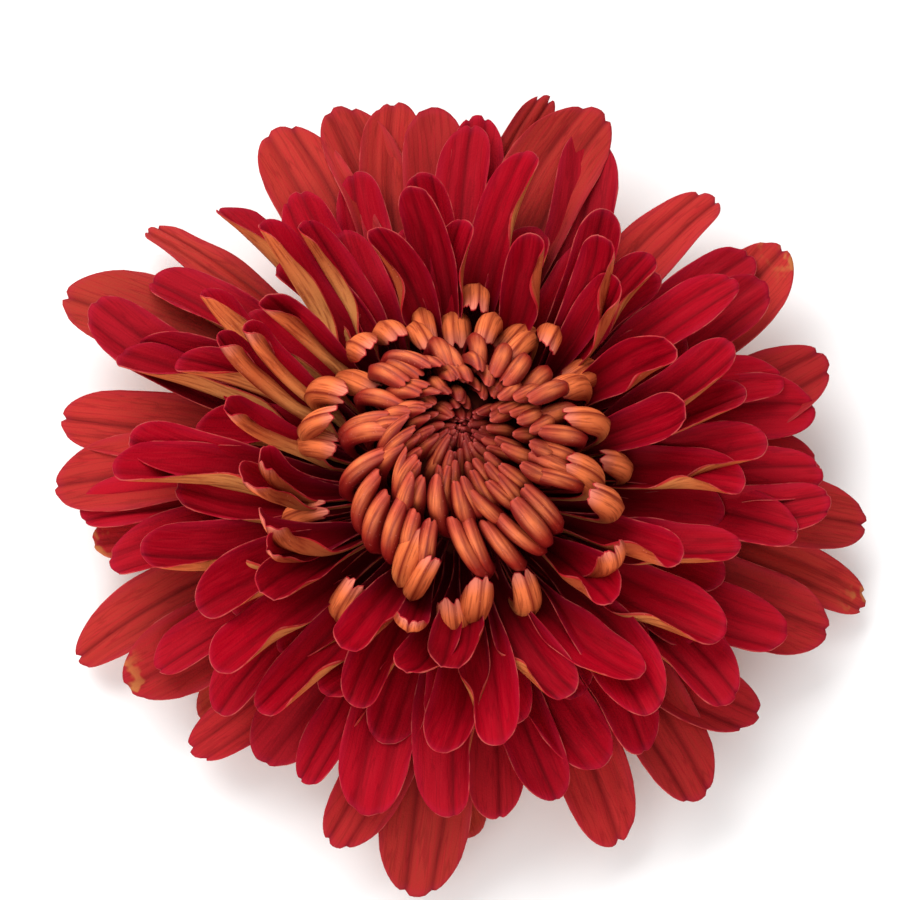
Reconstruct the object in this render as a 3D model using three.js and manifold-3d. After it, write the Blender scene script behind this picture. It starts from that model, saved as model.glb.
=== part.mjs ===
// A cremon chrysanthemum: one bloom, picked with a short stub of its stalk and laid on its back, face up.
// Millimetres, +Z up. The origin is on the surface that the bloom lies on, under the middle of the head.
import * as THREE from "three";
import { mergeVertices } from "three/addons/utils/BufferGeometryUtils.js";
import Module from "manifold-3d";

const wasm = await Module();
wasm.setup();

// Driving sizes
const BLADE_THICKNESS = 1.3; // down the middle of a floret, thinning to its margins
const FOOT_SHARE = 0.34; // width of a floret's stalk-like foot, as a share of its widest part
const TIP_LENGTH = 0.9; // of a floret's rounded end, in half widths
const TIP_WIDTH = 0.5; // of the blunt edge that ends it, as a share of the floret's width there
const GAP = 0.34; // between one whorl's solid and the next
const SINK = 3; // length of each floret's root inside the receptacle
const REST_HEIGHT = 0.1; // of the middle of a resting floret's tip, before it is pressed flat
const REST_SLOPE = [2, -8, -18, -20, -5]; // of a resting floret, which comes down to lie along the surface
const BACK_RISE = [0, 5, 7, 7, 5]; // degrees that the rim florets at the back stand higher
const RIM_STAGE = 0.12; // up to which a floret counts as one of the rim
const HOOKED = 0.47; // stage from which a floret has a set length and leans until it comes to its place
const BEND = [0.2, 0.6, 1, 1.1, 1.2]; // how a floret's own bend spreads from root to tip
const RESTING_BEND = [0.2, 0.6, 1, 1.1, 0];
const LEAN = [1, 1, 0.7, 0.25, 0]; // and how its lean does
const RESTING_LEAN = [1, 1, 1, 0.6, 0];
const LEAN_RANGE = [-60, 40];
const HALVINGS = 24;
const TAPER_FROM = 0.7; // how far along a floret starts to narrow towards its tip
const BEND_SPREAD = 5; // degrees that a floret may bend more or less than its stage does
const CURL_SPREAD = 6; // and curl
const LENGTH_SPREAD = 0.05; // share of its length that it may be longer or shorter
const BOW_SPREAD = 0.06; // and that it may bow to one side
const SEAM = 0.1; // finest step kept where two florets cross
const GOLDEN_ANGLE = 137.508;

// Florets that show, from the rim inwards: azimuth of the tip in degrees, reach of the tip from the axis, the
// width that shows, and turn about the floret's own length in degrees, where it lies turned to one side.
const RIM = [
  [4, 48.7, 8], [20, 53, 11], [37, 55.6, 11], [51, 54.5, 9, -12], [71, 57.5, 12.5], [78, 58, 5.5, 20],
  [99.5, 56.5, 9], [107.5, 57.5, 10], [116.5, 58, 11.5], [137.3, 58.5, 5.5, 20], [152.5, 61, 12],
  [169, 55.5, 10], [179.5, 55.2, 11], [187.5, 50.5, 9], [202.5, 56.5, 8.5], [211.5, 53, 11], [225, 51.3, 8.5],
  [235, 47, 10.5],
  [251.5, 53, 9], [263.5, 56.3, 12], [275.5, 47.5, 8], [293, 53, 10], [306.5, 54, 11], [321, 51, 10.5],
  [338, 53.2, 11], [345.7, 56.5, 7.5], [355.5, 55, 10],
];
const OUTER = [
  [0, 48.7, 9], [12.5, 49, 9], [18, 45.7, 8], [33, 49.3, 8.5], [39.5, 51.2, 8], [70.5, 53.3, 9.5],
  [87.5, 55.3, 7],
  [88.5, 50.2, 8], [98.5, 52.3, 8], [108.5, 46.2, 7.5, -15],
  [119.5, 46.7, 7.5], [130, 51.5, 7, 40], [145, 51.5, 8], [154.5, 56, 9],
  [158, 48, 8, -25], [161.5, 49.2, 8, 25], [183.5, 51.8, 8], [195.5, 49, 9, 12], [212.5, 48.7, 7, 18],
  [225, 46.5, 7.5], [244, 47.5, 7, 22], [254.5, 48.7, 10, -5], [268, 48, 9, 20], [285.5, 46.9, 7.5],
  [294.5, 45, 9, 10], [302, 46, 8], [318, 48.5, 9.5, -10], [333, 48.8, 10, -10], [348.5, 46, 9, -12],
  [355, 49.8, 8],
];
const MIDDLE = [
  [3, 41, 8], [13.5, 39.3, 7.5, -25], [22, 39.4, 7.5], [34, 44.8, 7.5, -22], [48.5, 38.7, 6],
  [60.5, 39.7, 7.5, 30],
  [78, 44.6, 7, -18], [97.5, 40.2, 7.5, -25], [123, 39.8, 6.5, 20], [129, 43, 7.5, 30],
  [146, 42.5, 7.5, 35],
  [160, 41, 7, -15], [176, 44.8, 9, -8], [182, 46.8, 8, 15], [197.5, 44.8, 9, 5], [211, 41, 8.5, -8],
  [223, 44.5, 8, 15], [233, 44, 8, 20], [248, 37.3, 7], [266.5, 41.2, 7.5, 6], [277, 41, 8, 18],
  [293, 36.5, 7.5, 12], [305, 44, 9], [306, 39.3, 8, -15], [325, 42.5, 9, -6], [341, 39.2, 8, -18],
  [354, 38, 8, -20],
];
const SPOON = [
  [8, 30, 6.5], [25, 31, 6.5], [47, 30.7, 6.5, -20], [55, 33.3, 6.5], [72, 31, 6], [89, 32, 6, -30],
  [100, 35.7, 6.5, -28], [111, 32.2, 6.5], [145.5, 32.5, 6.5], [151, 33.4, 6.5, 30],
  [157, 35.5, 7, 32], [171, 32, 6.5], [193, 29.8, 6.5, 18], [206, 29, 6.5, 15], [225.5, 34.3, 7, 12],
  [236, 32.5, 7, 8], [257, 32.8, 6.5], [266.5, 31.2, 7], [316, 33, 6.5, -15], [318, 29.5, 6.5, -10],
];
const HOOK = [
  [0, 23, 4.4], [14, 20, 4.2], [33, 20, 4.4], [38, 25, 4.6], [50, 22.5, 4.4], [63, 19.5, 4.2], [71, 23.5, 4.6],
  [79, 21, 4.4], [84, 28, 4.6], [92, 25, 4.4], [104, 24.3, 4.4], [106, 20.5, 4.2], [117.5, 23, 4.8],
  [132, 22.5, 5], [142, 20.5, 5], [155, 23, 4.8], [166, 22, 4.6], [177, 22, 5], [188, 27, 5], [201, 25, 5],
  [220.5, 30.5, 4.8], [231.5, 27.8, 5], [244.5, 19.8, 4.8], [255.5, 27.5, 4.8], [257, 20.8, 4.4],
  [265.5, 25.5, 4.8], [278, 22.2, 5], [295.5, 22.7, 5], [322.5, 26.2, 5.2], [338, 22.6, 5], [347, 19.3, 4.8],
];
const CLAW = [
  [4, 16.5, 3.5], [16, 16.5, 3.3], [27, 16.5, 3.3], [39, 16.5, 3.4], [51, 15.5, 3.4], [63, 15.5, 3.4],
  [76, 16.5, 3.3], [88, 15.5, 3.4], [100, 16, 3.3], [112, 16.5, 3.4], [124, 16, 3.4], [137, 16.5, 3.6],
  [150, 16, 3.6], [163, 16.5, 3.7], [176, 16, 3.7], [190, 17, 3.7], [203, 17.5, 3.6], [216, 18, 3.5],
  [228, 18, 3.4], [239, 17.5, 3.4], [251, 18.2, 3.3], [263, 17.5, 3.4], [273, 17, 3.3], [284, 17.7, 3.4],
  [295, 17.5, 3.3], [307, 17.5, 3.5], [319, 17, 3.4], [331, 17, 3.4], [343, 16, 3.3], [354, 16, 3.3],
];
const RESTING_FLORETS = 7; // the lowest whorl, bent down to the surface
const RESTING_REACH = 46;
const RESTING_WIDTH = 9;
const FIRST_RESTING = 14; // azimuth of the first one
const INNER_FLORETS = 18; // the dome's inner claws, set round a golden-angle spiral
const FIRST_INNER = 33; // azimuth of the first one
const INNER_STAGES = [0.63, 1];
const CROWDING = 0.85; // below 1, more of them stand at the later stages
const INNER_WIDTHS = [3.9, 1.9];

// A listed whorl's stage at one reach, and how much younger a floret is for each mm that it reaches less.
const WHORL = {
  rim: { stage: 0.02, step: 0.005, centre: 58 },
  outer: { stage: 0.15, step: 0.008, centre: 50 },
  middle: { stage: 0.3, step: 0.008, centre: 42 },
  spoon: { stage: 0.44, step: 0.005, centre: 32 },
  hook: { stage: 0.54, step: 0.008, centre: 25 },
  claw: { stage: 0.6, step: 0, centre: 0 },
};

// Where along a floret its blade has a section, besides its root and its tip.
const SPREADING_STATIONS = [0.3, 0.65, 1];
const SPOON_STATIONS = [0.35, 0.7, 1];
const HOOK_STATIONS = [0.4, 0.74, 1];
const CLAW_STATIONS = [0.4, 0.74, 1];
const INNER_STATIONS = [0.5, 0.78, 1];

// Stages of growth from the rim (0) to the eye (1): the slope of a floret at five places along it and its
// curl across at three, in degrees; its length, and the radius and height of its root; how far along it is
// widest, and the share of its width lost towards its tip; the degrees that it may lie turned either way, and
// those that its root is swept round from its tip, as a mean and a spread.
const STAGE_KEYS = ["at", "slope", "curl", "length", "radius", "height", "widest", "taper", "turn", "sweep"];
const STAGES = [
  [0.0, [6, 2, -6, -13, -20], [50, 26, 16], 47, 9.0, 10.4, 0.62, 0.12, 10, [0, 5]],
  [0.15, [16, 12, 4, -7, -15], [55, 42, 30], 42, 9.0, 11.8, 0.62, 0.12, 12, [0, 5]],
  [0.3, [22, 22, 17, 8, -2], [60, 54, 44], 35, 8.8, 13.2, 0.65, 0.12, 14, [0, 5]],
  [0.44, [28, 32, 34, 38, 66], [70, 62, 62], 36, 8.2, 14.6, 0.72, 0.12, 16, [0, 5]],
  [0.52, [30, 42, 58, 94, 168], [80, 76, 84], 31, 7.6, 16.0, 0.84, 0.2, 20, [0, 5]],
  [0.599, [36, 56, 80, 133, 174], [80, 84, 86], 26.4, 7.0, 17.4, 0.92, 0.45, 10, [0, 5]],
  [0.6, [36, 56, 80, 134, 174], [80, 84, 86], 26.4, 7.0, 17.4, 0.92, 0.45, 10, [-14, 10]],
  [0.64, [46, 62, 82, 132, 172], [80, 84, 84], 25.2, 6.6, 17.8, 0.92, 0.5, 8, [-18, 10]],
  [0.74, [52, 68, 86, 130, 170], [80, 84, 82], 23.4, 5.4, 18.4, 0.92, 0.5, 6, [-18, 10]],
  [0.88, [64, 76, 88, 120, 160], [80, 82, 80], 19.8, 3.4, 19.2, 0.92, 0.5, 5, [-18, 10]],
  [1.0, [76, 84, 90, 100, 130], [80, 80, 78], 14.6, 1.2, 19.6, 0.92, 0.5, 5, [-18, 10]],
].map((row) => Object.fromEntries(STAGE_KEYS.map((key, k) => [key, row[k]])));

const radians = THREE.MathUtils.degToRad;
const smooth = (x) => THREE.MathUtils.smoothstep(x, 0, 1);

// A repeatable draw between -1 and 1 for floret i, one for each use k.
function draw(i, k) {
  const wave = Math.sin(127.1 * (i + 1) + 311.7 * k) * 43758.5453;
  return 2 * (wave - Math.floor(wave)) - 1;
}

// The value at s, from 0 to 1, of a smooth curve through equally spaced knots.
function along(knots, s) {
  const last = knots.length - 1;
  const x = THREE.MathUtils.clamp(s, 0, 1) * last;
  const i = Math.min(Math.floor(x), last - 1);
  const f = x - i;
  const [a, b, c, d] = [i - 1, i, i + 1, i + 2].map((k) => knots[THREE.MathUtils.clamp(k, 0, last)]);
  const cubic = (3 * b - a - 3 * c + d) * f ** 3 + (2 * a - 5 * b + 4 * c - d) * f ** 2;
  return 0.5 * (2 * b + (c - a) * f + cubic);
}

function stageAt(t) {
  const next = Math.max(1, STAGES.findIndex((stage) => stage.at >= t));
  const [a, b] = [STAGES[next - 1], STAGES[next]];
  const f = (t - a.at) / (b.at - a.at);
  const mix = (x, y) => (Array.isArray(x) ? x.map((v, k) => mix(v, y[k])) : x + (y - x) * f);
  return Object.fromEntries(Object.keys(a).map((key) => [key, mix(a[key], b[key])]));
}

// Radius, height and slope at s of a floret's middle line, a length of unit steps that follow its slopes.
const STEPS = 40;
function trace(slope) {
  const line = [{ out: 0, up: 0 }];
  for (let k = 1; k <= STEPS; k++) {
    const angle = along(slope, (k - 0.5) / STEPS);
    const before = line[k - 1];
    line.push({ out: before.out + Math.cos(angle) / STEPS, up: before.up + Math.sin(angle) / STEPS });
  }
  return line;
}

// The lean of a floret's lower part, in degrees, at which a measure that falls as it leans up is nothing.
function leanFor(excess) {
  let [low, high] = LEAN_RANGE;
  for (let k = 0; k < HALVINGS; k++) {
    const middle = (low + high) / 2;
    if (excess(middle) > 0) low = middle;
    else high = middle;
  }
  return (low + high) / 2;
}

// A floret of growth stage t: its middle line, width and turns. Those with a reach and no hook are as long
// as their reach asks; hooks, claws and resting florets have a set length and lean until they reach it. The
// width is the one that shows, so the more the blade curls, the wider it is laid flat.
let count = 0;
function floret({ azimuth, t, reach, width, turn, resting = false }) {
  const i = count++;
  const stage = stageAt(t);
  const bend = resting ? RESTING_BEND : BEND;
  const leaning = resting ? RESTING_LEAN : LEAN;
  const back = t < RIM_STAGE && !resting ? Math.max(Math.sin(radians(azimuth)), 0) : 0;
  const rule = (resting ? REST_SLOPE : stage.slope).map((angle, k) => angle + back * BACK_RISE[k]);
  const bent = rule.map((angle, k) => angle + BEND_SPREAD * draw(i, 2) * bend[k]);
  const slopeWith = (lean) => bent.map((angle, k) => radians(angle + leaning[k] * lean));
  const farthest = (lean) => Math.max(...trace(slopeWith(lean)).map((p) => p.out));
  let lean = 0;
  let length = stage.length * (1 + LENGTH_SPREAD * draw(i, 1));
  if (resting) {
    const lengthWith = (angle) => (reach - stage.radius) / farthest(angle);
    const drop = (angle) => -trace(slopeWith(angle))[STEPS].up * lengthWith(angle);
    lean = leanFor((angle) => drop(angle) - (stage.height - REST_HEIGHT));
    length = lengthWith(lean);
  } else if (reach && t > HOOKED) {
    lean = leanFor((angle) => stage.radius + length * farthest(angle) - reach);
  } else if (reach) {
    length = (reach - stage.radius) / farthest(0);
  }
  const slope = slopeWith(lean);
  const curl = stage.curl.map((angle, k) => radians(angle + (k ? CURL_SPREAD * draw(i, 8 + k) : 0)));
  const shown = along(curl, 0.75);
  const [sweep, spread] = stage.sweep;
  return {
    ...stage,
    azimuth: radians(azimuth),
    half: ((width / 2) * shown) / Math.sin(shown),
    length,
    slope,
    line: trace(slope),
    curl,
    turn: radians(turn ?? stage.turn * draw(i, 6)),
    sweep: radians(sweep + spread * draw(i, 5)),
    bow: BOW_SPREAD * draw(i, 13) * length,
  };
}

// A point on a floret: u across from -1 to 1, s along from its root to its tip, lift above its middle
// surface. The section curls evenly, so it is an arc whose slope at u is the curl times u.
function pointOn(f, u, s, lift) {
  const shape = FOOT_SHARE + (1 - FOOT_SHARE) * smooth(s / f.widest);
  const half = f.half * shape * (1 - f.taper * smooth((s - TAPER_FROM) / (1 - TAPER_FROM)));
  const curl = Math.max(along(f.curl, s), 0.02);
  const across = (half * Math.sin(curl * u)) / curl - lift * Math.sin(curl * u);
  const above = (half * (1 - Math.cos(curl * u))) / curl + lift * Math.cos(curl * u);
  const step = THREE.MathUtils.clamp(Math.floor(s * STEPS), 0, STEPS - 1);
  const part = s * STEPS - step;
  const [a, b] = [f.line[step], f.line[step + 1]];
  const out = f.radius + f.length * (a.out + (b.out - a.out) * part);
  const up = f.height + f.length * (a.up + (b.up - a.up) * part);
  const slope = along(f.slope, s);
  const turn = f.turn * smooth(s / 0.8);
  const side = across * Math.cos(turn) - above * Math.sin(turn) + f.bow * 4 * s * (1 - s);
  const face = across * Math.sin(turn) + above * Math.cos(turn);
  const radial = out - face * Math.sin(slope);
  const azimuth = f.azimuth - f.sweep * (1 - Math.max(s, 0) ** 2);
  const [cos, sin] = [Math.cos(azimuth), Math.sin(azimuth)];
  return [radial * cos - side * sin, radial * sin + side * cos, up + face * Math.cos(slope)];
}

// A closed mesh given by its points and triangles, as a solid.
function solid(points, triangles) {
  const mesh = new wasm.Mesh({
    numProp: 3,
    vertProperties: new Float32Array(points.flat()),
    triVerts: new Uint32Array(triangles.flat()),
  });
  return new wasm.Manifold(mesh);
}

// The blade of one floret: at each station a lens of left margin, top, right margin and underside, joined to
// the next station's and closed by a cap at the root and at the tip.
function blade(f, stations) {
  const root = -SINK / f.length;
  const tip = TIP_LENGTH * (f.half / f.length);
  const places = [root, ...stations.map((s) => s * (1 - tip)), 1];
  const lift = BLADE_THICKNESS / 2;
  const points = places.flatMap((s, k) => {
    const u = k === places.length - 1 ? TIP_WIDTH : 1;
    return [pointOn(f, -u, s, 0), pointOn(f, 0, s, lift), pointOn(f, u, s, 0), pointOn(f, 0, s, -lift)];
  });
  const triangles = [];
  for (let k = 0; k < places.length - 1; k++) {
    const near = 4 * k;
    const far = near + 4;
    for (const [a, b] of [[0, 1], [1, 2]]) {
      triangles.push([near + a, far + b, near + b], [near + a, far + a, far + b]);
    }
    for (const [a, b] of [[0, 3], [3, 2]]) {
      triangles.push([near + a, near + b, far + b], [near + a, far + b, far + a]);
    }
  }
  const end = 4 * (places.length - 1);
  triangles.push([0, 1, 2], [0, 2, 3], [end, end + 2, end + 1], [end, end + 3, end + 2]);
  return solid(points, triangles);
}

// A solid of revolution about the bloom's axis, from a closed profile of [radius, height] points.
const HEAD_SIDES = 16;
const CORE_SIDES = 16;
const STALK_SIDES = 12;
function turned(profile, sides = HEAD_SIDES) {
  const lathe = new THREE.LatheGeometry(profile.map(([r, z]) => new THREE.Vector2(r, z)), sides);
  lathe.deleteAttribute("normal");
  lathe.deleteAttribute("uv");
  lathe.rotateX(Math.PI / 2);
  const merged = mergeVertices(lathe, 1e-4);
  return new wasm.Manifold(
    new wasm.Mesh({
      numProp: 3,
      vertProperties: merged.attributes.position.array,
      triVerts: new Uint32Array(merged.index.array),
    }),
  );
}

// The largest single body of a solid, without loose scraps, its seams cleared of slivers finer than SEAM.
const larger = (a, b) => (a.volume() > b.volume() ? a : b);
const wholeOf = (made) => made.simplify(SEAM).decompose().reduce(larger);

function meshOf(name, made, color, roughness) {
  const { vertProperties, triVerts } = wholeOf(made).getMesh();
  const geometry = new THREE.BufferGeometry();
  geometry.setAttribute("position", new THREE.BufferAttribute(vertProperties, 3));
  geometry.setIndex(new THREE.BufferAttribute(triVerts, 1));
  const mesh = new THREE.Mesh(geometry, new THREE.MeshStandardMaterial({ color, roughness, metalness: 0 }));
  mesh.name = name;
  return mesh;
}

// The two surfaces that part the whorls, each an upward-opening cup, as [radius, height] points from the axis
// out.
const UNDER_SPOONS = [[0, 13.9], [8.5, 13.9], [14, 16.4], [22, 20.5], [30, 24.5], [38, 31], [46, 40]];
const UNDER_CLAWS = [[0, 16.7], [7.3, 16.7], [11, 19.3], [14.8, 22.5], [17.6, 25.5], [18.8, 28.5],
  [18.6, 31], [17.2, 34], [14.5, 38]];
const CUT_TOP = 60;

// The inside of such a cup, moved in by half the gap, or out by it, up to a flat top.
function insideOf(cup, shift) {
  const moved = cup.map(([r, z]) => [r === 0 ? 0 : r + shift, z - shift]);
  const [rim] = moved.at(-1);
  return turned([...moved, [rim, CUT_TOP], [0, CUT_TOP]]);
}

// Each node of florets holds its own share of the receptacle as a core: a profile of [radius, height] points.
const OUTER_CORE = [[0, 9.4], [8.2, 9.4], [13, 9.9], [17, 12], [18, 15], [15, 18], [0, 18]];
const SPOON_CORE = [[0, 12], [11, 13.5], [16, 17.5], [18, 22], [17, 26], [0, 28]];
const CLAW_CORE = [[0, 15], [8, 16], [12.5, 21], [14, 26], [12.5, 30], [7, 33.5], [1.5, 33.5], [0, 33]];

const listed = (table, { stage, step, centre }) =>
  table.map(([azimuth, reach, width, turn]) =>
    floret({ azimuth, t: stage + step * (centre - reach), reach, width, turn }),
  );

function outerRayFlorets() {
  const [rim, outer] = [listed(RIM, WHORL.rim), listed(OUTER, WHORL.outer)];
  const middle = listed(MIDDLE, WHORL.middle);
  const resting = Array.from({ length: RESTING_FLORETS }, (_, k) => {
    const azimuth = FIRST_RESTING + (360 / RESTING_FLORETS) * k;
    return floret({ azimuth, t: 0, reach: RESTING_REACH, width: RESTING_WIDTH, turn: 0, resting: true });
  });
  const blades = [...rim, ...outer, ...middle, ...resting].map((f) => blade(f, SPREADING_STATIONS));
  const joined = wasm.Manifold.union([turned(OUTER_CORE), ...blades]);
  return joined.subtract(insideOf(UNDER_SPOONS, GAP / 2)).trimByPlane([0, 0, 1], 0);
}

function spoonRayFlorets() {
  const spoons = listed(SPOON, WHORL.spoon).map((f) => blade(f, SPOON_STATIONS));
  const hooks = listed(HOOK, WHORL.hook).map((f) => blade(f, HOOK_STATIONS));
  const joined = wasm.Manifold.union([turned(SPOON_CORE), ...spoons, ...hooks]);
  return joined.intersect(insideOf(UNDER_SPOONS, -GAP / 2)).subtract(insideOf(UNDER_CLAWS, GAP / 2));
}

function incurvedRayFlorets() {
  const claws = listed(CLAW, WHORL.claw).map((f) => blade(f, CLAW_STATIONS));
  const [first, last] = INNER_STAGES;
  const inner = Array.from({ length: INNER_FLORETS }, (_, k) => {
    const t = first + (last - first) * ((k + 0.5) / INNER_FLORETS) ** CROWDING;
    const width = THREE.MathUtils.mapLinear(t, first, last, ...INNER_WIDTHS);
    return blade(floret({ azimuth: FIRST_INNER + GOLDEN_ANGLE * k, t, width }), INNER_STATIONS);
  });
  const joined = wasm.Manifold.union([turned(CLAW_CORE, CORE_SIDES), ...claws, ...inner]);
  return joined.intersect(insideOf(UNDER_CLAWS, -GAP / 2));
}

// The cup of green bracts: a turned bowl with rows of pointed scales that overlap like tiles.
const BRACT_ROWS = [
  { bracts: 8, radius: 3.6, height: 4.5, rise: 42, reach: 4.6, width: 3.4 },
  { bracts: 10, radius: 6.4, height: 6.2, rise: 56, reach: 3.3, width: 3.2 },
];
const BRACT_THICKNESS = 0.8;
const BRACT_SINK = 0.2; // how far a bract's inner face lies inside the bowl
const BRACT_ROOT = -1.4; // where a bract starts along its slope
const BRACT_SHOULDER = 0.4; // where it starts to narrow to its point, as a share of its reach
const CUP_RIM = 9.06;
const BOWL = [[0, 4], [3, 4], [6, 6], [8.4, CUP_RIM], [0, CUP_RIM]];

function bract({ radius, height, rise, reach, width }, around) {
  const slope = radians(rise);
  const [cos, sin] = [Math.cos(around), Math.sin(around)];
  const half = width / 2;
  const shoulder = reach * BRACT_SHOULDER;
  const foot = [[-half, BRACT_ROOT], [half, BRACT_ROOT]];
  const outline = [...foot, [half, shoulder], [0, reach], [-half, shoulder]];
  const points = [-BRACT_SINK, BRACT_THICKNESS].flatMap((lift) =>
    outline.map(([side, s]) => {
      const out = radius + s * Math.cos(slope) + lift * Math.sin(slope);
      const up = height + s * Math.sin(slope) - lift * Math.cos(slope);
      return [out * cos - side * sin, out * sin + side * cos, up];
    }),
  );
  return prism(points);
}

function involucre() {
  const scales = BRACT_ROWS.flatMap((row) =>
    Array.from({ length: row.bracts }, (_, k) => bract(row, (k / row.bracts) * 2 * Math.PI)),
  );
  return wasm.Manifold.union([turned(BOWL, STALK_SIDES), ...scales]).trimByPlane([0, 0, -1], -CUP_RIM);
}

// A closed prism from the points of its inner outline, then those of its outer one, both in the same order.
function prism(points) {
  const n = points.length / 2;
  const triangles = [];
  for (let a = 0; a < n; a++) {
    const b = (a + 1) % n;
    triangles.push([a, b, b + n], [a, b + n, a + n]);
    if (a > 0 && a < n - 1) triangles.push([0, a + 1, a], [n, n + a, n + a + 1]);
  }
  return solid(points, triangles);
}

// The stalk's stub: a turned stem, a little waisted, cut square just above the surface.
const STALK = [[0, 0.6], [2.1, 0.6], [2, 2], [2.5, 3.7], [0, 3.7]];
const peduncle = () => turned(STALK, STALK_SIDES);

const bloom = new THREE.Group();
bloom.add(
  meshOf("outer_ray_florets", outerRayFlorets(), 0xa3101c, 0.5),
  meshOf("spoon_ray_florets", spoonRayFlorets(), 0xb5552a, 0.5),
  meshOf("incurved_ray_florets", incurvedRayFlorets(), 0xc8683c, 0.5),
  meshOf("involucre", involucre(), 0x6f8a45, 0.7),
  meshOf("peduncle", peduncle(), 0x7c9350, 0.7),
);

export default bloom;
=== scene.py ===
# %% [markdown]
# # A cremon chrysanthemum: one picked bloom
#
# The bloom lies on its back and looks up, about 110 mm across and 39 mm high. What a florist calls petals
# are ray florets, each a small flower whose corolla has grown into a strap, a spoon or a claw. This
# lesson grows them all from one table of growth stages, paints them, and adds the green parts.

# %% Load the fixed frame
import math

import bpy
import numpy as np
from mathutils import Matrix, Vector


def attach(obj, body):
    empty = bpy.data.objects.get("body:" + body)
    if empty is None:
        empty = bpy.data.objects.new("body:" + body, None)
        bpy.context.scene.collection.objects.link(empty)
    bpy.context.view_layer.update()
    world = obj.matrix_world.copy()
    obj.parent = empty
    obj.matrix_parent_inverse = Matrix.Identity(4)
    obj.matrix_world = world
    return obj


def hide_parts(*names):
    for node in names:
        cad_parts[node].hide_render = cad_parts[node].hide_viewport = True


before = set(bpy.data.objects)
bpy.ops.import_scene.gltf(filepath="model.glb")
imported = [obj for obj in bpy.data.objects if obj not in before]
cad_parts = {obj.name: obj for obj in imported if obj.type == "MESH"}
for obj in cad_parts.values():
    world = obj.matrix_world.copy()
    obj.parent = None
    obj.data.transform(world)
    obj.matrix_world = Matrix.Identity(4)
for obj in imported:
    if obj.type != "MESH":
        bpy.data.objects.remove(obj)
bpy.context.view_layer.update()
print("nodes to dress:", sorted(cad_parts))

# %% [markdown]
# ## Camera first
#
# The photograph looks down on the bloom from in front and steeply above. The camera comes first, so every
# later choice is judged from the same place. A long lens from a metre away keeps the near florets from
# swelling.

# %% The camera
MM = 0.001
PICTURE = 900  # pixels each way
METRES_PER_PIXEL = 110 * MM / 816
ELEVATION = 72  # degrees above the table
DISTANCE = 1.1
HEART = Vector((0, 0, 16 * MM))  # the middle of the bloom
HEART_PIXEL = (462, 478)  # where that lies in the picture

lens_data = bpy.data.cameras.new("photo_camera")
camera = bpy.data.objects.new("photo_camera", lens_data)
bpy.context.collection.objects.link(camera)
toward = Vector((0, -math.cos(math.radians(ELEVATION)), math.sin(math.radians(ELEVATION))))
camera.location = HEART + toward * DISTANCE
camera.rotation_euler = (-toward).to_track_quat("-Z", "Y").to_euler()
lens_data.lens = lens_data.sensor_width * DISTANCE / (PICTURE * METRES_PER_PIXEL)
lens_data.shift_x = (PICTURE / 2 - HEART_PIXEL[0]) / PICTURE
lens_data.shift_y = (HEART_PIXEL[1] - PICTURE / 2) / PICTURE
lens_data.clip_start = 0.01
bpy.context.scene.camera = camera
print(f"camera {DISTANCE} m away, lens {lens_data.lens:.0f} mm")

# %% [markdown]
# ## Where the florets are
#
# A rule alone would give a tidy bloom that is not this one, so the florets that show are listed one by one.
# Each row is the azimuth of the tip in degrees, its reach from the axis and its width in millimetres, and
# in some a turn in degrees, where the floret lies on one side.

# %% The florets that show
RIM = [
    [4, 48.7, 8], [20, 53, 11], [37, 55.6, 11], [51, 54.5, 9, -12], [71, 56.7, 12.5], [78, 57, 5.5, 20],
    [99.5, 56, 9], [107.5, 57, 10], [116.5, 57.4, 11.5], [137.3, 58.5, 5.5, 20], [152.5, 61, 12],
    [169, 55.5, 10], [179.5, 55.2, 11], [187.5, 50.5, 9], [202.5, 56.5, 8.5], [211.5, 53, 11],
    [225, 51.3, 8.5], [235, 47, 10.5], [251.5, 53, 9], [263.5, 56.3, 12], [275.5, 47.5, 8], [293, 53, 10],
    [306.5, 54, 11], [321, 51, 10.5], [338, 53.2, 11], [345.7, 56.5, 7.5], [355.5, 55, 10],
]
BEHIND = [[94.5, 53.5, 9]]  # shows only in the gap between two others
OUTER = [
    [0, 48.7, 9], [12.5, 49, 9], [18, 45.7, 8], [33, 49.3, 8.5], [39.5, 51.2, 8], [70.5, 53.3, 9.5],
    [87.5, 52, 7.5], [88.5, 50.2, 8], [98.5, 52.3, 8], [108.5, 46.2, 7.5, -15], [119.5, 46.7, 7.5],
    [130, 51.5, 7, 40], [145, 51.5, 8], [154.5, 56, 9], [158, 48, 8, -25], [161.5, 49.2, 8, 25],
    [183.5, 51.8, 8], [195.5, 49, 9, 12], [212.5, 48.7, 7, 18], [225, 46.5, 7.5], [244, 47.5, 7, 22],
    [254.5, 48.7, 10, -5], [268, 48, 9, 20], [285.5, 46.9, 7.5], [294.5, 45, 9, 10], [302, 46, 8],
    [318, 48.5, 9.5, -10], [333, 48.8, 10, -10], [348.5, 46, 9, -12], [355, 49.8, 8],
]
MIDDLE = [
    [3, 41, 8], [13.5, 39.3, 7.5, -25], [22, 39.4, 7.5], [34, 44.8, 7.5, -22], [48.5, 38.7, 6],
    [60.5, 39.7, 7.5, 30], [78, 44.6, 7, -18], [97.5, 40.2, 7.5, -25], [123, 39.8, 6.5, 20],
    [129, 43, 7.5, 30], [146, 42.5, 7.5, 35], [160, 41, 7, -15], [176, 44.8, 9, -8], [182, 46.8, 8, 15],
    [197.5, 44.8, 9, 5], [211, 41, 8.5, -8], [223, 44.5, 8, 15], [233, 44, 8, 20], [248, 37.3, 7],
    [266.5, 41.2, 7.5, 6], [277, 41, 8, 18], [293, 36.5, 7.5, 12], [305, 44, 9], [306, 39.3, 8, -15],
    [325, 42.5, 9, -6], [341, 39.2, 8, -18], [354, 38, 8, -20],
]
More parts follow.
